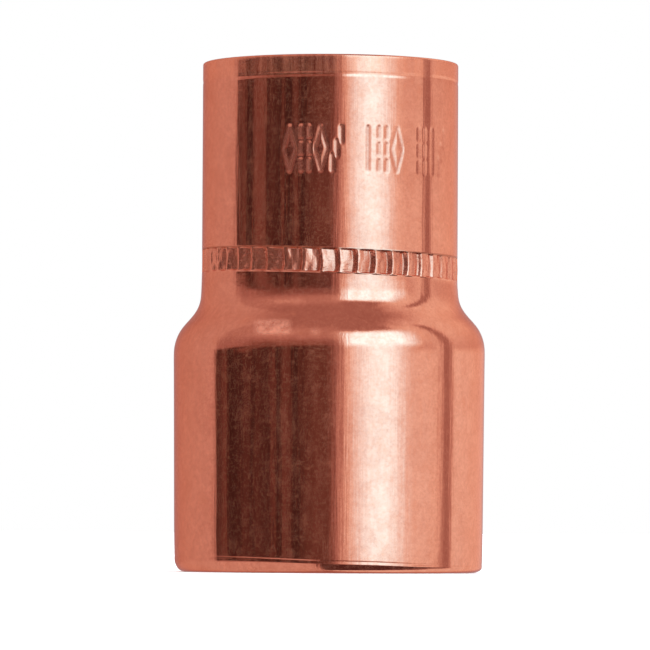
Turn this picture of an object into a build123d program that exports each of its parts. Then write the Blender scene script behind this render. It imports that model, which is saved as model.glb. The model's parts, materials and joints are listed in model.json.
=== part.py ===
"""Copper reducing coupling: joins a 15 mm tube to a 12 mm tube with soldered sockets.

The real coupling is one length of copper tube, cold formed, so it is one solid here too.
Millimetres, +Z up. The origin is the centre of the large socket's end face, the axis is Z,
the small socket points up, and the stamped strokes face -Y.
"""

import os
from math import cos, radians, sin, tan

from build123d import *

# Tubes that the sockets take, and the radial room that the solder fills
large_tube_d = 15.0
small_tube_d = 12.0
solder_gap = 0.055

# Outside of the coupling; the large socket grows slightly from its mouth to its shoulder
length = 27.4
large_mouth_r = 8.29
large_root_r = 8.38
small_r = 6.89
wall = 0.82

# Reduction between the sockets: an outward bend, a short cone and an inward bend
shoulder_height = 11.82
cone_angle = 42.0
shoulder_bend_r = 2.2
neck_bend_r = 1.7

# End rims
large_rim_round = 0.5
small_rim_round = 0.12
bore_edge_break = 0.1

# Rolled tube stop: scallops pressed in all round, slightly askew, and the ridge that they raise inside
stop_height = 16.5
stop_width = 1.3
stop_tilt = 1.7
scallop_count = 44
scallop_r = 0.57
scallop_depth = 0.2
ridge_height = 0.4
ridge_width = 1.1
ridge_round = 0.3

# Fine turned lines beside the rims, each by its height, width and depth
trim_line = (length - 1.05, 0.36, 0.015)
rim_line = (0.62, 0.2, 0.015)

# Stamped strokes near the small mouth, as one row of plain shapes
stamp_height = 22.4
stamp_start = -18.2
stamp_pitch = 7.0
stamp_size = (0.8, 2.5)
stamp_stroke = 0.2
stamp_depth = 0.05

# Each shape is a list of strokes in a cell that reaches from -0.5 to 0.5 both ways
stamp_shapes = {
    "bar": [((0, -0.45), (0, 0.45))],
    "lozenge": [((side * 0.42, 0), (0, end * 0.45)) for side in (-1, 1) for end in (-1, 1)],
    "dashes": [((x, y - 0.1), (x, y + 0.1)) for x in (-0.28, 0.28) for y in (-0.35, 0, 0.35)],
    "steps": [((x, x - 0.15), (x, x + 0.15)) for x in (-0.3, 0, 0.3)],
}
stamp_row = ["lozenge", "dashes", "lozenge", "steps", None, "bar", "dashes", "lozenge", None,
             "dashes", "bar", "steps"]

large_bore_r = large_tube_d / 2 + solder_gap
small_bore_r = small_tube_d / 2 + solder_gap
large_bore_depth = shoulder_height - 0.25

stop_plane = Plane.XY.offset(stop_height).rotated((0, stop_tilt, 0))


def bend_end(start, radius, turn):
    """Where an upward wall ends after it bends inward by turn degrees."""
    return (start[0] - radius * (1 - cos(radians(turn))), start[1] + radius * sin(radians(turn)))


def wall_line(foot_r, bend_foot, outward_r, top_r, inward_r, top):
    """One side of the wall: up, in round the shoulder, along the cone, round the neck and up."""
    foot, shoulder = (foot_r, 0), bend_foot
    cone_foot = bend_end(shoulder, outward_r, cone_angle)
    neck_drop = inward_r * (1 - cos(radians(cone_angle)))
    cone_top_r = top_r + neck_drop
    cone_top = (cone_top_r, cone_foot[1] + (cone_foot[0] - cone_top_r) / tan(radians(cone_angle)))
    neck_top = (top_r, cone_top[1] + inward_r * sin(radians(cone_angle)))
    Line(foot, shoulder)
    RadiusArc(shoulder, cone_foot, -outward_r)
    Line(cone_foot, cone_top)
    RadiusArc(cone_top, neck_top, inward_r)
    Line(neck_top, (top_r, top))


def stamp_plane(place):
    """A plane that touches the small socket, at the stamped shape with this place in the row."""
    turn = radians(stamp_start + place * stamp_pitch)
    outward = Vector(sin(turn), -cos(turn), 0)
    sideways = Vector(cos(turn), sin(turn), 0)
    return Plane(origin=outward * small_r + Vector(0, 0, stamp_height), x_dir=sideways, z_dir=outward)


with BuildPart() as coupling_body:
    # The formed tube, turned about Z from the section of its wall
    with BuildSketch(Plane.XZ) as tube_wall:
        with BuildLine():
            wall_line(large_mouth_r, (large_root_r, shoulder_height), shoulder_bend_r,
                      small_r, neck_bend_r, length)
            wall_line(large_bore_r, (large_bore_r, large_bore_depth), shoulder_bend_r - wall,
                      small_bore_r, neck_bend_r + wall, length)
            Line((large_bore_r, 0), (large_mouth_r, 0))
            Line((small_bore_r, length), (small_r, length))
        make_face()
        large_rim = tube_wall.vertices().group_by(Axis.Y)[0].sort_by(Axis.X)
        small_rim = tube_wall.vertices().group_by(Axis.Y)[-1].sort_by(Axis.X)
        fillet(large_rim[-1], large_rim_round)
        fillet(small_rim[-1], small_rim_round)
        chamfer([large_rim[0], small_rim[0]], bore_edge_break)
    revolve(axis=Axis.Z)

    # Turned lines beside the two rims
    with BuildSketch(Plane.XZ):
        for radius, (height, width, depth) in ((small_r, trim_line), (large_mouth_r, rim_line)):
            with Locations((radius, height)):
                Rectangle(2 * depth, width)
    revolve(axis=Axis.Z, mode=Mode.SUBTRACT)

    # Ridge inside the small socket that the tube stops against, square to the socket
    with BuildSketch(Plane.XZ) as ridge:
        with Locations((small_bore_r - ridge_height, stop_height)):
            Rectangle(ridge_height + wall / 2, ridge_width, align=(Align.MIN, Align.CENTER))
        fillet(ridge.vertices().group_by(Axis.X)[0], ridge_round)
    revolve(axis=Axis.Z)

    # Scallops round the outside of the stop
    with BuildSketch(stop_plane.offset(-stop_width / 2)):
        with PolarLocations(small_r - scallop_depth + scallop_r, scallop_count):
            Circle(scallop_r)
    extrude(amount=stop_width, mode=Mode.SUBTRACT)

    # Stamped strokes
    for place, shape in enumerate(stamp_row):
        if shape is None:
            continue
        with BuildSketch(stamp_plane(place)):
            for start, end in stamp_shapes[shape]:
                start = Vector(start[0] * stamp_size[0], start[1] * stamp_size[1])
                end = Vector(end[0] * stamp_size[0], end[1] * stamp_size[1])
                slant = Vector(1, 0).get_signed_angle(end - start)
                with Locations((start + end) / 2):
                    SlotCenterToCenter((end - start).length, stamp_stroke, rotation=slant)
        extrude(amount=stamp_depth, both=True, mode=Mode.SUBTRACT)

coupling_body.part.label = "coupling_body"
os.makedirs("parts", exist_ok=True)
export_step(coupling_body.part, "parts/coupling_body.step")
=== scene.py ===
"""A drawn-copper reducing coupling on a plain pale floor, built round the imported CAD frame.

The CAD solid gives the sizes. The piece that shows is one closed, finely divided skin of the same
form: both sockets, the shoulder, the rolled tube stop, the turned lines and the stamped strokes.
"""

import json
import math

import bpy
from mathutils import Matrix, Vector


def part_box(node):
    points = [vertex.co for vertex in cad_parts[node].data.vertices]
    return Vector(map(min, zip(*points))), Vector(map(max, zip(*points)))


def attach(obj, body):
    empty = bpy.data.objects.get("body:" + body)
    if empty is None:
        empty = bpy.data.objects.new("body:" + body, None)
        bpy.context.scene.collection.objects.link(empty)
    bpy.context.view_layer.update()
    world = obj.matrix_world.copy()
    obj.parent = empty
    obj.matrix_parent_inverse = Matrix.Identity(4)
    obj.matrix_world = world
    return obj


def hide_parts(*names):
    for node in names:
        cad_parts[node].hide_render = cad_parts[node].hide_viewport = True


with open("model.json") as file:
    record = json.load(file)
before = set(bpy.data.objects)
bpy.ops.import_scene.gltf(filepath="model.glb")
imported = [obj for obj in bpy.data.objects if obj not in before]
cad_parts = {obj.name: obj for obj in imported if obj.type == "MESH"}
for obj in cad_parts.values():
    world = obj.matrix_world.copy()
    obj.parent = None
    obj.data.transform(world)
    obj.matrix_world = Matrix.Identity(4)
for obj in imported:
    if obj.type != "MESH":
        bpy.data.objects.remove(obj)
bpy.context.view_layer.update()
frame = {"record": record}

MM = 0.001
MOUNTS = {mount["name"]: mount for mount in frame["record"]["mounts"]}

# Sizes in millimetres, from the frame where it states them
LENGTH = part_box("coupling_body")[1][2] / MM
LARGE_BORE_R = MOUNTS["large_socket"]["dims"]["r_mm"]
SMALL_BORE_R = MOUNTS["small_socket"]["dims"]["r_mm"]
LARGE_ROOT_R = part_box("coupling_body")[1][0] / MM
LARGE_SOCKET_GROWTH = 0.09
LARGE_MOUTH_R = LARGE_ROOT_R - LARGE_SOCKET_GROWTH
SMALL_WALL = 0.835
SMALL_R = SMALL_BORE_R + SMALL_WALL
WALL = 0.82

# Reduction between the sockets; an ease is the length over which a bend sets in or runs out
SHOULDER_HEIGHT = 11.82
LARGE_BORE_DEPTH = SHOULDER_HEIGHT - 0.25
CONE_ANGLE = math.radians(42.0)
SHOULDER_BEND_R = 2.2
NECK_BEND_R = 1.7
SHOULDER_EASE = 0.55
NECK_EASE = 0.75

# End rims
LARGE_RIM_ROUND = 0.5
SMALL_RIM_ROUND = 0.12
BORE_EDGE_BREAK = 0.1

# Rolled tube stop. Each scallop is skewed: its deepest line is SCALLOP_BOTTOM of its half width
# off its middle. The skin's finer rings reach STOP_MARGIN beyond the stop.
STOP_HEIGHT = 16.5
STOP_WIDTH = 1.3
STOP_MARGIN = 0.04
SCALLOPS = 44
SCALLOP_WIDTH = 0.87
SCALLOP_DEPTH = 0.21
SCALLOP_BOTTOM = 0.6
SCALLOP_FLATNESS = 1.12
SCALLOP_BOW = 0.07
SCALLOP_END = 0.09
SCALLOP_UNEVENNESS = 0.2
SCALLOP_WANDER = 0.06
SCALLOP_LUMPS = 0.015

# The scallops are fainter on the +X side: the angles from the front where that sets in and ends
SCALLOP_FAINTNESS = 0.65
FAINT_SPAN = ((math.radians(28), math.radians(55)), (math.radians(100), math.radians(140)))

# Ridge inside the stop, with a faint lobe behind each scallop
RIDGE_HEIGHT = 0.4
RIDGE_WIDTH = 1.1
RIDGE_LOBE = 0.08
RIDGE_FULLNESS = 0.6

# Turned lines beside the rims, by their width and depth, and how far they wander up and down
TRIM_LINE_HEIGHT = LENGTH - 1.05
TRIM_LINE = (0.36, 0.014)
TRIM_LINE_WAVER = 0.03
RIM_LINE_HEIGHT = 0.62
RIM_LINE = (0.2, 0.006)
RIM_LINE_WAVER = 0.05

# What forming left askew or uneven, and the heights between which each sets in and fades again
STOP_TILT = math.radians(1.7)
STOP_TILT_SPAN = ((STOP_HEIGHT - 1.4, STOP_HEIGHT - 0.8), (STOP_HEIGHT + 0.9, STOP_HEIGHT + 3))
SHOULDER_TILT = math.radians(0.6)
SHOULDER_TILT_SPAN = ((9.5, 11.5), (14.6, 15.6))
RIM_TILT = math.radians(1.5)
RIM_TILT_FADE = (1.0, 3.0)
RIM_LEAN = 0.02
RIM_LEAN_HEIGHT = 2.0
LIP = 0.03
LIP_SPAN = ((12.0, 14.5), (14.9, 15.9))

# Stamped strokes: each shape is a list of strokes in a cell that reaches from -0.5 to 0.5
STAMP_HEIGHT = 22.4
STAMP_START = math.radians(-18.2)
STAMP_PITCH = math.radians(7.0)
STAMP_SIZE = (0.8, 2.5)
STAMP_STROKE = 0.2
STAMP_DEPTH = 0.04
STAMP_EDGE = 0.13
STAMP_FADE = 0.05
STAMP_DULLNESS = 1.8
STAMP_SHAPES = {
    "bar": [((0, -0.45), (0, 0.45))],
    "lozenge": [((side * 0.42, 0), (0, end * 0.45)) for side in (-1, 1) for end in (-1, 1)],
    "dashes": [((x, y - 0.1), (x, y + 0.1)) for x in (-0.28, 0.28) for y in (-0.35, 0, 0.35)],
    "steps": [((x, x - 0.15), (x, x + 0.15)) for x in (-0.3, 0, 0.3)],
}
STAMP_ROW = ["lozenge", "dashes", "lozenge", "steps", None, "bar", "dashes", "lozenge", None,
             "dashes", "bar", "steps"]

# Columns of the skin: round the plain surfaces, round the stop, and across the stamped strokes
PLAIN_COLUMNS = SCALLOPS * 8
STOP_COLUMNS = SCALLOPS * 16
STAMP_COLUMN = math.radians(0.3)
STAMP_SPAN = (STAMP_START - STAMP_PITCH, STAMP_START + len(STAMP_ROW) * STAMP_PITCH)


def smooth(value, low, high):
    """0 below low, 1 above high, and a soft step between."""
    t = min(max((value - low) / (high - low), 0.0), 1.0)
    return t * t * (3 - 2 * t)


def between(value, span):
    """1 inside a span, with a soft step up to it and a soft step down from it, and 0 outside."""
    rise, fall = span
    return smooth(value, *rise) * (1 - smooth(value, *fall))


def spread(low, high, count):
    """count + 1 evenly spaced values from low to high."""
    return [low + (high - low) * step / count for step in range(count + 1)]


# ---------------------------------------------------------------- the form of the coupling


def waver(turn, seed):
    """A small wave round the axis, from -1 to 1, that closes on itself."""
    waves = ((2, 0.5), (3, 0.8), (5, 0.6), (9, 0.4))
    total = sum(size * math.sin(count * turn + seed * count) for count, size in waves)
    return total / sum(size for count, size in waves)


def scallop_dent(turn, height):
    """How far the rolled stop is pressed in, at height above its middle."""
    across = abs(2 * height / STOP_WIDTH)
    if across >= 1:
        return 0.0
    pitch = 2 * math.pi / SCALLOPS
    turn = turn - SCALLOP_BOW / SMALL_R * (1 - across * across)
    cell = round(turn / pitch)
    uneven = math.sin(cell * 12.9)
    wander = SCALLOP_WANDER * math.sin(cell * 7.3)
    side = (turn - cell * pitch) * SMALL_R / (SCALLOP_WIDTH / 2) + wander
    if abs(side) >= 1:
        return 0.0
    slope_width = 1 + SCALLOP_BOTTOM if side < SCALLOP_BOTTOM else 1 - SCALLOP_BOTTOM
    from_bottom = abs(side - SCALLOP_BOTTOM) / slope_width
    faint = SCALLOP_FAINTNESS * between(turn, FAINT_SPAN)
    depth = SCALLOP_DEPTH * (1 + SCALLOP_UNEVENNESS * uneven - faint)
    depth *= 1 - from_bottom ** SCALLOP_FLATNESS
    lumps = SCALLOP_LUMPS * math.sin(5 * side + 5 * uneven) * math.sin(4 * height + 3 * cell)
    return (depth + lumps) * smooth((1 - across) * STOP_WIDTH / 2, 0.0, SCALLOP_END)


def stroke_distance(x, y, start, end):
    """Distance from a point to a stroke's centre line, all in millimetres."""
    run_x, run_y = end[0] - start[0], end[1] - start[1]
    along = ((x - start[0]) * run_x + (y - start[1]) * run_y) / (run_x ** 2 + run_y ** 2)
    along = min(max(along, 0.0), 1.0)
    return math.hypot(x - start[0] - along * run_x, y - start[1] - along * run_y)


def stamp_dent(turn, z):
    """How far the stamped strokes are pressed in at this place on the small socket."""
    place = round((turn - STAMP_START) / STAMP_PITCH)
    if not 0 <= place < len(STAMP_ROW) or STAMP_ROW[place] is None:
        return 0.0
    x = (turn - STAMP_START - place * STAMP_PITCH) * SMALL_R
    y = z - STAMP_HEIGHT
    wide, tall = STAMP_SIZE
    nearest = min(
        stroke_distance(x, y, (ax * wide, ay * tall), (bx * wide, by * tall))
        for (ax, ay), (bx, by) in STAMP_SHAPES[STAMP_ROW[place]]
    )
    edge = STAMP_STROKE / 2
    share = 1 - smooth(nearest, edge - STAMP_EDGE, edge + STAMP_EDGE)
    return STAMP_DEPTH * (1 - STAMP_FADE * place) * share


def bend(centre_r, centre_z, radius, start, end, count):
    """Points of an arc in the (r, z) section, by angle from the outward direction."""
    return [(centre_r + radius * math.cos(angle), centre_z + radius * math.sin(angle))
            for angle in spread(start, end, count)]


def turned_line(r, z, size):
    """Rings of a fine groove turned into the wall, by its width and depth."""
    width, depth = size
    return [(r - depth * (0.5 + 0.5 * math.cos(2 * math.pi * share)), z + share * width)
            for share in spread(-0.5, 0.5, 8)]


def smooth_bend(share, ease):
    """A rise from 0 to 1 at an even rate, except for an eased stretch at each end."""
    rate = 1 / (1 - ease)
    if share < ease:
        return rate * share * share / (2 * ease)
    if share > 1 - ease:
        return 1 - rate * (1 - share) ** 2 / (2 * ease)
    return rate * (share - ease / 2)


def eased_bend(radius, ease, count):
    """Steps (inward, up) of a bend from straight up to the cone's slope, with eased ends."""
    length = radius * CONE_ANGLE + ease
    steps, inward, up = [(0.0, 0.0)], 0.0, 0.0
    fine = 12
    for step in range(count * fine):
        slope = CONE_ANGLE * smooth_bend((step + 0.5) / (count * fine), ease / length)
        inward += math.sin(slope) * length / (count * fine)
        up += math.cos(slope) * length / (count * fine)
        if step % fine == fine - 1:
            steps.append((inward, up))
    return steps


def reduction(root_r, root_z, outward_r, top_r, inward_r, count):
    """Points from the shoulder's start to the neck's end: bend, cone and bend."""
    cone_foot_r = root_r - outward_r * (1 - math.cos(CONE_ANGLE))
    cone_foot_z = root_z + outward_r * math.sin(CONE_ANGLE)
    cone_top_r = top_r + inward_r * (1 - math.cos(CONE_ANGLE))
    cone_top_z = cone_foot_z + (cone_foot_r - cone_top_r) / math.tan(CONE_ANGLE)
    neck_z = cone_top_z + inward_r * math.sin(CONE_ANGLE)
    low = eased_bend(outward_r, SHOULDER_EASE, count)
    high = eased_bend(inward_r, NECK_EASE, count)
    start_z, top_z = root_z - SHOULDER_EASE / 2, neck_z + NECK_EASE / 2
    points = [(root_r - inward, start_z + up) for inward, up in low]
    points += [(top_r + inward, top_z - up) for inward, up in reversed(high)]
    return points


def outside_rings():
    """Rings of the outer surface, from the large rim up to the small one: (radius, height, kind)."""
    corner = LARGE_RIM_ROUND
    rings = bend(LARGE_MOUTH_R - corner, corner, corner, -math.pi / 2, 0, 10)
    rings += turned_line(LARGE_MOUTH_R, RIM_LINE_HEIGHT, RIM_LINE)
    for share in spread(0, 1, 12)[1:-1]:
        z = RIM_LINE_HEIGHT + share * (SHOULDER_HEIGHT - RIM_LINE_HEIGHT)
        rings.append((LARGE_MOUTH_R + LARGE_SOCKET_GROWTH * z / SHOULDER_HEIGHT, z))
    rings += reduction(LARGE_ROOT_R, SHOULDER_HEIGHT, SHOULDER_BEND_R, SMALL_R, NECK_BEND_R, 14)
    half = STOP_WIDTH / 2
    low, high = STOP_HEIGHT - half, STOP_HEIGHT + half
    rings += [(SMALL_R, z) for z in spread(rings[-1][1], low - STOP_MARGIN, 4)[1:-1]]
    rings = [(r, z, "plain") for r, z in rings]

    # Close together at the stop's two edges, where the scallops end
    edge = [0, 0.02, 0.04, 0.06, 0.08, 0.1, 0.12]
    stop = [low - STOP_MARGIN] + [low + gap for gap in edge] + spread(low + 0.18, high - 0.18, 12)
    stop += [high - gap for gap in reversed(edge)] + [high + STOP_MARGIN]
    rings += [(SMALL_R, z, "stop") for z in stop]

    stamp_low = STAMP_HEIGHT - STAMP_SIZE[1] / 2 - 0.1
    stamp_high = STAMP_HEIGHT + STAMP_SIZE[1] / 2 + 0.1
    rings += [(SMALL_R, z, "plain") for z in spread(high + 0.3, stamp_low - 0.2, 5)]
    rings += [(SMALL_R, z, "stamp") for z in spread(stamp_low, stamp_high, 42)]
    rings += [(SMALL_R, z, "plain") for z in spread(stamp_high + 0.2, TRIM_LINE_HEIGHT - 0.2, 4)]
    rings += [(r, z, "plain") for r, z in turned_line(SMALL_R, TRIM_LINE_HEIGHT, TRIM_LINE)]
    corner = SMALL_RIM_ROUND
    rings += [(SMALL_R, z, "plain") for z in spread(TRIM_LINE_HEIGHT + 0.2, LENGTH - corner - 0.1, 2)]
    rim = bend(SMALL_R - corner, LENGTH - corner, corner, 0, math.pi / 2, 7)
    rings += [(r, z, "plain") for r, z in rim]
    return rings


def inside_rings():
    """Rings of the inner surface, from the small rim down to the large one."""
    cut = BORE_EDGE_BREAK
    rings = [(SMALL_BORE_R + cut + 0.02, LENGTH), (SMALL_BORE_R + cut, LENGTH - 0.01)]
    rings += [(SMALL_BORE_R + 0.01, LENGTH - cut), (SMALL_BORE_R, LENGTH - cut - 0.02)]
    ridge_low, ridge_high = STOP_HEIGHT - RIDGE_WIDTH / 2, STOP_HEIGHT + RIDGE_WIDTH / 2
    rings += [(SMALL_BORE_R, z) for z in spread(LENGTH - 0.4, ridge_high + 0.15, 5)]
    rings = [(r, z, "plain") for r, z in rings]
    rings += [(SMALL_BORE_R, z, "ridge") for z in spread(ridge_high, ridge_low, 9)]
    inner = reduction(LARGE_BORE_R, LARGE_BORE_DEPTH, SHOULDER_BEND_R - WALL,
                      SMALL_BORE_R, NECK_BEND_R + WALL, 7)
    rings += [(r, z, "plain") for r, z in reversed(inner)]
    rings += [(LARGE_BORE_R, z, "plain") for z in spread(LARGE_BORE_DEPTH - 1, 0.4, 5)]
    rings += [(LARGE_BORE_R, cut + 0.02, "plain"), (LARGE_BORE_R + 0.01, cut, "plain")]
    rings += [(LARGE_BORE_R + cut, 0.01, "plain"), (LARGE_BORE_R + cut + 0.02, 0, "plain")]
    return rings


def columns(kind):
    """The angles of a ring's points, from the front, turning towards +X."""
    count = STOP_COLUMNS if kind in ("stop", "ridge") else PLAIN_COLUMNS
    turns = [2 * math.pi * step / count - math.pi for step in range(count)]
    if kind != "stamp":
        return turns
    low, high = STAMP_SPAN
    fine = spread(low, high, round((high - low) / STAMP_COLUMN))
    return sorted([turn for turn in turns if turn < low or turn > high] + fine)


def askew(z):
    """How steeply the outer surface falls towards +X at this height."""
    near_rim = min(z / LARGE_RIM_ROUND, 1.0) * (1 - smooth(z, *RIM_TILT_FADE))
    slope = math.tan(STOP_TILT) * between(z, STOP_TILT_SPAN) + math.tan(RIM_TILT) * near_rim
    return slope - math.tan(SHOULDER_TILT) * between(z, SHOULDER_TILT_SPAN)


def place_point(r, z, kind, turn, outside):
    """Where a ring's point lies, in metres, and how strongly the metal is pressed there."""
    lift = pressed = 0.0
    if outside:
        lift = -r * math.sin(turn) * askew(z)
        r -= RIM_LEAN * max(1 - z / RIM_LEAN_HEIGHT, 0.0) ** 2
        r += LIP * between(z, LIP_SPAN)
    if kind == "stop":
        dent = scallop_dent(turn, z - STOP_HEIGHT)
        r, pressed = r - dent, dent / SCALLOP_DEPTH
    elif kind == "stamp":
        dent = stamp_dent(turn, z)
        r, pressed = r - dent, STAMP_DULLNESS * dent / STAMP_DEPTH
    elif kind == "ridge":
        across = 2 * (z - STOP_HEIGHT) / RIDGE_WIDTH
        lobe = 1 - RIDGE_LOBE + RIDGE_LOBE * math.cos(SCALLOPS * turn)
        r -= RIDGE_HEIGHT * lobe * max(1 - across * across, 0.0) ** RIDGE_FULLNESS
    if outside and abs(z - RIM_LINE_HEIGHT) < RIM_LINE[0]:
        lift += RIM_LINE_WAVER * waver(turn, 1.3)
    if outside and abs(z - TRIM_LINE_HEIGHT) < TRIM_LINE[0]:
        lift += TRIM_LINE_WAVER * waver(turn, 4.1)
    return (r * math.sin(turn) * MM, -r * math.cos(turn) * MM, (z + lift) * MM), pressed


def bridge(faces, low, high):
    """Faces between two rings, each a list of (angle, point index) in rising order of angle."""
    full = 2 * math.pi
    low = low + [(low[0][0] + full, low[0][1])]
    high = high + [(high[0][0] + full, high[0][1])]
    i = j = 0
    while i < len(low) - 1 or j < len(high) - 1:
        next_low = low[i + 1][0] if i < len(low) - 1 else math.inf
        next_high = high[j + 1][0] if j < len(high) - 1 else math.inf
        if abs(next_low - next_high) < 1e-6:
            faces.append((low[i][1], low[i + 1][1], high[j + 1][1], high[j][1]))
            i, j = i + 1, j + 1
        elif next_low < next_high:
            faces.append((low[i][1], low[i + 1][1], high[j][1]))
            i += 1
        else:
            faces.append((low[i][1], high[j + 1][1], high[j][1]))
            j += 1


def coupling_skin():
    """The whole coupling as one closed mesh."""
    rings = [(ring, True) for ring in outside_rings()] + [(ring, False) for ring in inside_rings()]
    points, dents, insides, faces, loops = [], [], [], [], []
    for (r, z, kind), outside in rings:
        loop = []
        for turn in columns(kind):
            loop.append((turn, len(points)))
            point, pressed = place_point(r, z, kind, turn, outside)
            points.append(point)
            dents.append(pressed)
            insides.append(0.0 if outside else 1.0)
        loops.append(loop)
    for low, high in zip(loops, loops[1:] + loops[:1]):
        bridge(faces, low, high)
    mesh = bpy.data.meshes.new("coupling_skin")
    mesh.from_pydata(points, [], faces)
    mesh.validate()
    mesh.shade_smooth()
    mesh.attributes.new("pressed", "FLOAT", "POINT").data.foreach_set("value", dents)
    mesh.attributes.new("inside", "FLOAT", "POINT").data.foreach_set("value", insides)
    skin = bpy.data.objects.new("coupling_skin", mesh)
    bpy.context.scene.collection.objects.link(skin)
    return skin


# ---------------------------------------------------------------- nodes


class Nodes:
    """Short names for the shader nodes that the materials and the world are made of."""

    def __init__(self, tree):
        self.tree = tree
        tree.nodes.clear()

    def node(self, kind, **settings):
        made = self.tree.nodes.new(kind)
        for name, value in settings.items():
            setattr(made, name, value)
        return made

    def put(self, socket, value):
        if isinstance(value, bpy.types.NodeSocket):
            self.tree.links.new(value, socket)
        else:
            socket.default_value = value

    def math(self, operation, *values, clamp=False):
        made = self.node("ShaderNodeMath", operation=operation, use_clamp=clamp)
        for socket, value in zip(made.inputs, values):
            self.put(socket, value)
        return made.outputs[0]

    def ramp(self, value, low, high, start=0.0, end=1.0):
        """start below low, end above high, and a soft step between."""
        made = self.node("ShaderNodeMapRange", interpolation_type="SMOOTHSTEP")
        for socket, given in zip(made.inputs, (value, low, high, start, end)):
            self.put(socket, given)
        return made.outputs[0]

    def window(self, value, low, high, low_edge, high_edge):
        """1 between low and high, with soft edges of those widths."""
        rise = self.ramp(value, low - low_edge / 2, low + low_edge / 2)
        fall = self.ramp(value, high - high_edge / 2, high + high_edge / 2, 1.0, 0.0)
        return self.math("MULTIPLY", rise, fall)

    def mix(self, share, under, over):
        made = self.node("ShaderNodeMix", data_type="RGBA")
        self.put(made.inputs[0], share)
        self.put(made.inputs[6], under)
        self.put(made.inputs[7], over)
        return made.outputs[2]

    def blend(self, share, under, over):
        made = self.node("ShaderNodeMix", data_type="FLOAT")
        self.put(made.inputs[0], share)
        self.put(made.inputs[2], under)
        self.put(made.inputs[3], over)
        return made.outputs[0]

    def noise(self, vector, scale, detail, rough):
        made = self.node("ShaderNodeTexNoise")
        self.put(made.inputs["Vector"], vector)
        self.put(made.inputs["Scale"], scale)
        self.put(made.inputs["Detail"], detail)
        self.put(made.inputs["Roughness"], rough)
        return made.outputs["Fac"]

    def stretch(self, vector, scale):
        made = self.node("ShaderNodeVectorMath", operation="MULTIPLY")
        self.put(made.inputs[0], vector)
        self.put(made.inputs[1], scale)
        return made.outputs[0]

    def gather(self, textures, parts):
        """The sum of parts, each a texture's name, the range that counts and what it adds there."""
        total = 0.0
        for name, low, high, start, end in parts:
            total = self.math("ADD", total, self.ramp(textures[name], low, high, start, end))
        return total

    def weigh(self, textures, weights):
        """The sum of textures, each by its name and weight."""
        total = 0.0
        for name, weight in weights:
            total = self.math("MULTIPLY_ADD", textures[name], weight, total)
        return total


# ---------------------------------------------------------------- the copper

COPPER = (0.86, 0.35, 0.225, 1.0)
COPPER_DARK = (0.58, 0.19, 0.12, 1.0)
COPPER_RED = (0.84, 0.27, 0.14, 1.0)
COPPER_INSIDE = (0.86, 0.5, 0.38, 1.0)
# The colour of the painted shade along the stop's upper edge
COPPER_PAINTED_SHADE = (0.4, 0.14, 0.085, 1.0)
COPPER_EDGE = (0.92, 0.62, 0.54, 1.0)
PER_MM = 1 / MM

# Noise textures, each by its scale per millimetre, its detail and its roughness. Along the tube
# the scale is this share of it, so the drawn and streaky ones are long marks of the drawing.
DRAWN = 0.04
STREAKY = 0.15
EVEN = 1.0
TEXTURES = (
    ("hair_lines", DRAWN, 9.0, 2.0, 0.6),
    ("lines", DRAWN, 3.5, 3.0, 0.6),
    ("broad_lines", DRAWN, 0.8, 2.0, 0.5),
    ("streaks", STREAKY, 2.2, 3.0, 0.6),
    ("tarnish", EVEN, 0.4, 3.0, 0.6),
    ("blotches", EVEN, 1.3, 3.0, 0.65),
    ("flecks", EVEN, 4.5, 2.0, 0.6),
    ("grain", EVEN, 8.0, 1.0, 0.5),
    ("dust", EVEN, 7.0, 0.0, 0.5),
    ("pitting", EVEN, 6.0, 1.0, 0.5),
)

# The level of the pitting at which a pit starts, and at which it is full
PITS_FROM = (0.67, 0.73)

# What darkens the copper, what makes it hazy and what makes it rough: a texture, the range of it
# that counts, and what it adds at the range's low and high end
STAINS = (
    ("tarnish", 0.35, 0.7, 0.0, 0.2),
    ("blotches", 0.35, 0.7, 0.0, 0.24),
    ("flecks", 0.35, 0.65, 0.0, 0.2),
    ("grain", 0.35, 0.65, 0.0, 0.1),
)
HAZES = (
    ("flecks", 0.52, 0.7, 0.0, 0.05),
    ("blotches", 0.5, 0.7, 0.0, 0.05),
    ("dust", 0.5, 0.7, 0.0, 0.04),
)
ROUGHNESSES = (
    ("lines", 0.3, 0.7, 0.07, 0.1),
    ("blotches", 0.4, 0.8, 0.0, 0.03),
)

# The heights of the bump, in units of its distance, everywhere and in the band of the rolled stop
BUMPS = (("broad_lines", 6.0), ("lines", 2.0), ("hair_lines", 0.5), ("blotches", 1.0),
         ("flecks", 0.3), ("grain", 0.2))
HAMMERED = (("flecks", 4.0), ("blotches", 8.0), ("lines", 5.0))
BUMP_DISTANCE = 0.003 * MM

# Painted shade: a dark line along the stop's upper edge, where the scallops end, from and to these
# heights above the stop's middle
PAINTED_SHADE_LINE = (STOP_WIDTH / 2 - 0.07, STOP_WIDTH / 2 + 0.03)

# Scuffed patches on the front of the shoulder: x low and high, z low and high, strength
SCUFFS = (
    ((-3.9, -2.1), (12.55, 13.3), 0.5),
    ((-0.95, -0.55), (12.5, 12.8), 0.25),
)


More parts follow.
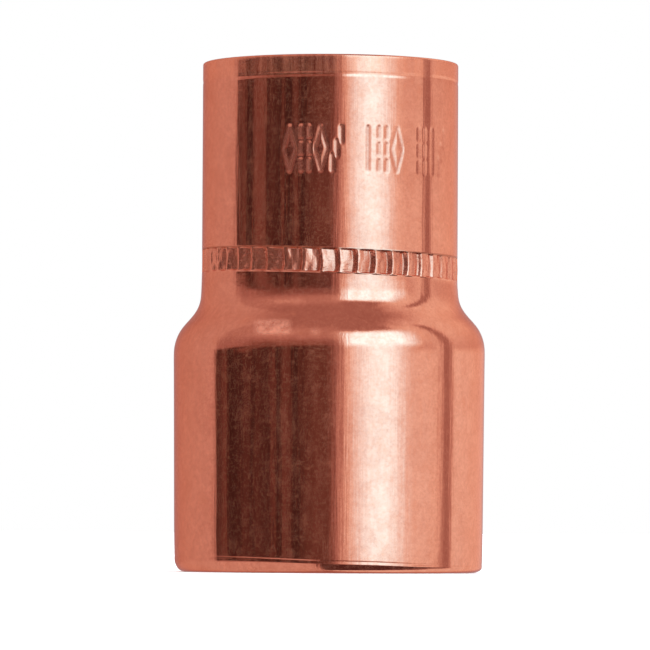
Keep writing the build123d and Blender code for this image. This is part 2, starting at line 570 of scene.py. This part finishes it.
def copper_material():
    """Bright drawn copper: fine lines along the tube, faint tarnish and haze, flecks and pits, and a
    painted shade along the stop's upper edge.
    """
    material = bpy.data.materials.new("drawn_copper")
    material.use_nodes = True
    make = Nodes(material.node_tree)
    place = make.node("ShaderNodeTexCoord").outputs["Object"]
    in_mm = {along: make.stretch(place, (PER_MM, PER_MM, PER_MM * along))
             for along in (DRAWN, STREAKY, EVEN)}
    textures = {name: make.noise(in_mm[along], scale, detail, rough)
                for name, along, scale, detail, rough in TEXTURES}
    pits = make.ramp(textures["pitting"], *PITS_FROM)

    # Where the stop's band, the painted shade along its upper edge, the pressed metal, the bores and
    # the cut end are
    split = make.node("ShaderNodeSeparateXYZ")
    make.put(split.inputs[0], in_mm[EVEN])
    x_mm, y_mm, z_mm = split.outputs
    fallen = make.math("MULTIPLY_ADD", x_mm, math.tan(STOP_TILT), -STOP_HEIGHT)
    above_stop = make.math("ADD", z_mm, fallen)
    rolled = make.window(above_stop, -STOP_WIDTH / 2, STOP_WIDTH / 2, 0.1, 0.1)
    painted_shade = make.window(above_stop, *PAINTED_SHADE_LINE, 0.06, 0.06)
    pressed = make.node("ShaderNodeAttribute", attribute_name="pressed").outputs["Fac"]
    inside = make.node("ShaderNodeAttribute", attribute_name="inside").outputs["Fac"]
    cut = make.ramp(z_mm, TRIM_LINE_HEIGHT - 0.05, TRIM_LINE_HEIGHT + 0.05)

    stain = make.gather(textures, STAINS)
    stain = make.math("MULTIPLY_ADD", pits, 0.1, stain)
    stain = make.math("MULTIPLY_ADD", pressed, 0.3, stain)
    colour = make.mix(stain, COPPER, COPPER_DARK)

    # Haze is the share that isn't bare metal. It reddens the copper, but the dulling of the band,
    # of the pressed metal and of the scuffs doesn't
    haze = make.math("MULTIPLY", make.ramp(textures["tarnish"], 0.35, 0.65),
                     make.ramp(textures["streaks"], 0.4, 0.7))
    haze = make.math("MULTIPLY_ADD", haze, 0.06, make.gather(textures, HAZES))
    haze = make.math("MULTIPLY_ADD", cut, make.ramp(textures["lines"], 0.35, 0.65, 0.02, 0.12), haze)
    haze = make.math("MULTIPLY_ADD", inside, 0.25, haze)
    colour = make.mix(make.math("MULTIPLY", haze, 3.0, clamp=True), colour, COPPER_RED)
    # Painted shade: the copper is darkened along the stop's upper edge
    colour = make.mix(make.math("MULTIPLY", painted_shade, 0.75), colour, COPPER_PAINTED_SHADE)
    colour = make.mix(make.math("MULTIPLY", inside, 0.85), colour, COPPER_INSIDE)
    haze = make.math("MULTIPLY_ADD", rolled, 0.04, haze)
    haze = make.math("MULTIPLY_ADD", pressed, 0.06, haze)
    for across, upward, strength in SCUFFS:
        patch = make.math("MULTIPLY", make.window(x_mm, *across, 0.5, 0.5),
                          make.window(z_mm, *upward, 0.3, 0.3))
        patch = make.math("MULTIPLY", patch, make.ramp(y_mm, -1.0, 0.0, 1.0, 0.0))
        worn = make.ramp(textures["blotches"], 0.35, 0.6, 0.15, strength)
        haze = make.math("MULTIPLY_ADD", patch, worn, haze)

    roughness = make.gather(textures, ROUGHNESSES)
    for where, amount in ((pits, 0.05), (rolled, 0.06), (pressed, 0.12), (cut, 0.05), (inside, 0.2)):
        roughness = make.math("MULTIPLY_ADD", where, amount, roughness)

    height = make.math("MULTIPLY_ADD", make.weigh(textures, HAMMERED), rolled,
                       make.weigh(textures, BUMPS))
    height = make.math("MULTIPLY_ADD", pits, -0.1, height)
    bump = make.node("ShaderNodeBump")
    bump.inputs["Strength"].default_value = 1.0
    bump.inputs["Distance"].default_value = BUMP_DISTANCE
    make.put(bump.inputs["Height"], height)

    shader = make.node("ShaderNodeBsdfPrincipled")
    shader.inputs["Specular Tint"].default_value = COPPER_EDGE
    shader.inputs["Specular IOR Level"].default_value = 0.0
    make.put(shader.inputs["Base Color"], colour)
    make.put(shader.inputs["Metallic"], make.math("SUBTRACT", 1.0, haze))
    make.put(shader.inputs["Roughness"], roughness)
    make.put(shader.inputs["Normal"], bump.outputs["Normal"])
    output = make.node("ShaderNodeOutputMaterial")
    make.put(output.inputs["Surface"], shader.outputs["BSDF"])
    return material


# ---------------------------------------------------------------- the studio

# What stands round the coupling, as seen from it, each over the ones before. Azimuth 0 is towards
# -Y and 90 is towards +X, and elevation is above the horizon, all in degrees with the widths of
# the soft edges. A brightness of 1 is plain white.
CARDS = (
    # azimuth low, high and their edges; elevation low, high and their edges; brightness
    ("room", (-181, 181, 1, 1), (-91, 91, 1, 1), 0.45),
    ("left_wall", (-160, -92, 40, 8), (-91, 62, 1, 30), 0.69),
    ("right_wall", (62, 160, 14, 40), (-91, 58, 1, 25), 1.0),
    ("right_wall_middle", (62, 160, 14, 40), (0, 16, 4, 26), 0.8),
    ("upper_front", (-95, 12, 10, 10), (24, 58, 24, 24), 0.56),
    ("flag_haze", (-86, 14, 24, 6), (-91, 22, 1, 20), 0.3),
    ("flag_top", (-84, 14, 22, 6), (-91, 9.5, 1, 7), 0.05),
    ("dark_flag", (-93, 14, 6, 6), (-91, 5, 1, 1.2), 0.05),
    ("flag_seam", (-73, -60, 5, 5), (2.5, 16, 2, 8), 0.22),
    ("flag_edge", (-16, 14, 14, 14), (-91, 17, 1, 26), 0.16),
    ("glow", (-60, -30, 14, 14), (37, 49, 14, 14), 0.72),
    ("soft_box", (8.5, 64, 20, 20), (-12, 46, 14, 14), 1.0),
    ("right_wall_low", (58, 160, 18, 40), (-91, 3.0, 1, 6), 1.13),
    ("right_shade", (84, 104, 14, 14), (-91, 58, 1, 25), 0.95),
    ("soft_box_core", (22.5, 53.5, 26, 26), (-6.5, 42, 9, 12), 3.15),
    ("soft_box_top", (13, 66, 10, 24), (10, 42, 12, 12), 3.7),
    ("gap", (92.5, 103, 7, 7), (-91, 50, 1, 10), 0.45),
    ("floor_left", (-160, -8, 40, 10), (-91, -8, 1, 8), 0.75),
    ("floor_right", (-8, 98, 12, 44), (-86, -9.5, 6, 5), 0.1),
)
BACKDROP = (1.0, 1.0, 1.0, 1.0)

# How fast red, green and blue rise with brightness above 1, and how warm the dark is
HIGHLIGHT_RISE = (0.17, 0.8, 1.25)
DARK_WARMTH = 0.5

# The dark flag is a cloth that hangs in folds, this many degrees wide and this bright at most
FOLDED_CARDS = ("dark_flag", "flag_top")
FOLD_WIDTH = 9.0
FOLD_LIGHT = 0.16
FOLD_EDGES = (0.42, 0.62)

# All cards with flag in their names lean: from this elevation up, their edges move this many
# degrees towards +X for each degree of rise, over so many degrees of rise
FLAG_LEAN_FROM = 5.0
FLAG_LEAN = 4.0
FLAG_LEAN_RISE = 5.0


def card_colour(make, brightness):
    """Light of this brightness: the dark is warm, and what is brighter than white is cool."""
    below = make.math("MINIMUM", brightness, 1.0)
    over = make.math("MAXIMUM", make.math("SUBTRACT", brightness, 1.0), 0.0)
    whiteness = make.math("POWER", below, 1.5)
    whiteness = make.math("MULTIPLY_ADD", whiteness, DARK_WARMTH, 1 - DARK_WARMTH)
    cool = make.math("MULTIPLY", below, whiteness)
    colour = make.node("ShaderNodeCombineColor")
    for socket, base, rise in zip(colour.inputs, (below, cool, cool), HIGHLIGHT_RISE):
        make.put(socket, make.math("MULTIPLY_ADD", over, rise, base))
    return colour.outputs[0]


def studio_world():
    """Soft cards and a dark flag in every direction, and a white backdrop behind the coupling."""
    world = bpy.data.worlds.new("studio")
    world.use_nodes = True
    make = Nodes(world.node_tree)
    split = make.node("ShaderNodeSeparateXYZ")
    make.put(split.inputs[0], make.node("ShaderNodeTexCoord").outputs["Generated"])
    x, y, z = split.outputs
    azimuth = make.math("DEGREES", make.math("ARCTAN2", x, make.math("MULTIPLY", y, -1.0)))
    elevation = make.math("DEGREES", make.math("ARCSINE", z))
    folds = make.node("ShaderNodeTexNoise", noise_dimensions="1D")
    make.put(folds.inputs["W"], azimuth)
    make.put(folds.inputs["Scale"], 1 / FOLD_WIDTH)
    folds = make.ramp(folds.outputs["Fac"], *FOLD_EDGES)
    rise = make.math("MAXIMUM", make.math("SUBTRACT", elevation, FLAG_LEAN_FROM), 0.0)
    rise = make.math("MINIMUM", rise, FLAG_LEAN_RISE)
    leaning = make.math("MULTIPLY_ADD", rise, -FLAG_LEAN, azimuth)
    light = 0.0
    for name, across, upward, brightness in CARDS:
        facing = leaning if "flag" in name else azimuth
        share = make.math("MULTIPLY", make.window(facing, *across), make.window(elevation, *upward))
        if name in FOLDED_CARDS:
            brightness = make.blend(folds, brightness, FOLD_LIGHT)
        light = make.blend(share, light, brightness)
    seen = make.node("ShaderNodeLightPath").outputs["Is Camera Ray"]
    light = make.mix(seen, card_colour(make, light), BACKDROP)
    background = make.node("ShaderNodeBackground")
    make.put(background.inputs["Color"], light)
    output = make.node("ShaderNodeOutputWorld")
    make.put(output.inputs["Surface"], background.outputs["Background"])
    bpy.context.scene.world = world


# The floor's radius in metres, its gap to the coupling, its shade and its own faint light
FLOOR_R = 3.0
FLOOR_GAP = 0.02 * MM
FLOOR_SHADE = (0.93, 0.93, 0.93, 1.0)
FLOOR_GLOW = 0.2


def pale_floor():
    """A wide pale floor just under the large rim, which the copper doesn't reflect."""
    count = 96
    turns = [2 * math.pi * step / count for step in range(count)]
    points = [(FLOOR_R * math.cos(turn), FLOOR_R * math.sin(turn), -FLOOR_GAP) for turn in turns]
    mesh = bpy.data.meshes.new("floor")
    mesh.from_pydata(points, [], [tuple(range(count))])
    floor = bpy.data.objects.new("floor", mesh)
    bpy.context.scene.collection.objects.link(floor)
    material = bpy.data.materials.new("pale_floor")
    material.use_nodes = True
    shader = material.node_tree.nodes["Principled BSDF"]
    shader.inputs["Base Color"].default_value = FLOOR_SHADE
    shader.inputs["Roughness"].default_value = 0.9
    shader.inputs["Specular IOR Level"].default_value = 0.0
    shader.inputs["Emission Color"].default_value = (1.0, 1.0, 1.0, 1.0)
    shader.inputs["Emission Strength"].default_value = FLOOR_GLOW
    mesh.materials.append(material)
    floor.visible_glossy = False


OVERHEAD_ENERGY = 2.6
OVERHEAD_SPREAD = math.radians(80)


def overhead_light():
    """A broad light for the floor, which the copper doesn't reflect."""
    lamp = bpy.data.lights.new("overhead", "SUN")
    lamp.energy = OVERHEAD_ENERGY
    lamp.angle = OVERHEAD_SPREAD
    holder = bpy.data.objects.new("overhead", lamp)
    bpy.context.scene.collection.objects.link(holder)
    holder.visible_glossy = False


# Camera: its place in millimetres, its tilt and roll in degrees, and its lens in millimetres
CAMERA_DISTANCE = 306.0
CAMERA_SIDE = -0.18
CAMERA_HEIGHT = 2.3
CAMERA_TILT = 2.06
CAMERA_ROLL = -0.3
CAMERA_LENS = 314.5


def studio_camera():
    """A long lens, low and level with the large socket."""
    lens = bpy.data.cameras.new("camera")
    lens.lens = CAMERA_LENS
    lens.sensor_width = 36.0
    lens.clip_start = 0.01
    lens.clip_end = 20.0
    camera = bpy.data.objects.new("camera", lens)
    camera.location = (CAMERA_SIDE * MM, -CAMERA_DISTANCE * MM, CAMERA_HEIGHT * MM)
    camera.rotation_euler = (math.radians(90 + CAMERA_TILT), math.radians(CAMERA_ROLL), 0)
    bpy.context.scene.collection.objects.link(camera)
    bpy.context.scene.camera = camera


# ---------------------------------------------------------------- everything together

skin = coupling_skin()
skin.data.materials.append(copper_material())
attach(skin, "root")
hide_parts("coupling_body")

studio_world()
pale_floor()
overhead_light()
studio_camera()
bpy.context.scene.view_settings.view_transform = "Standard"
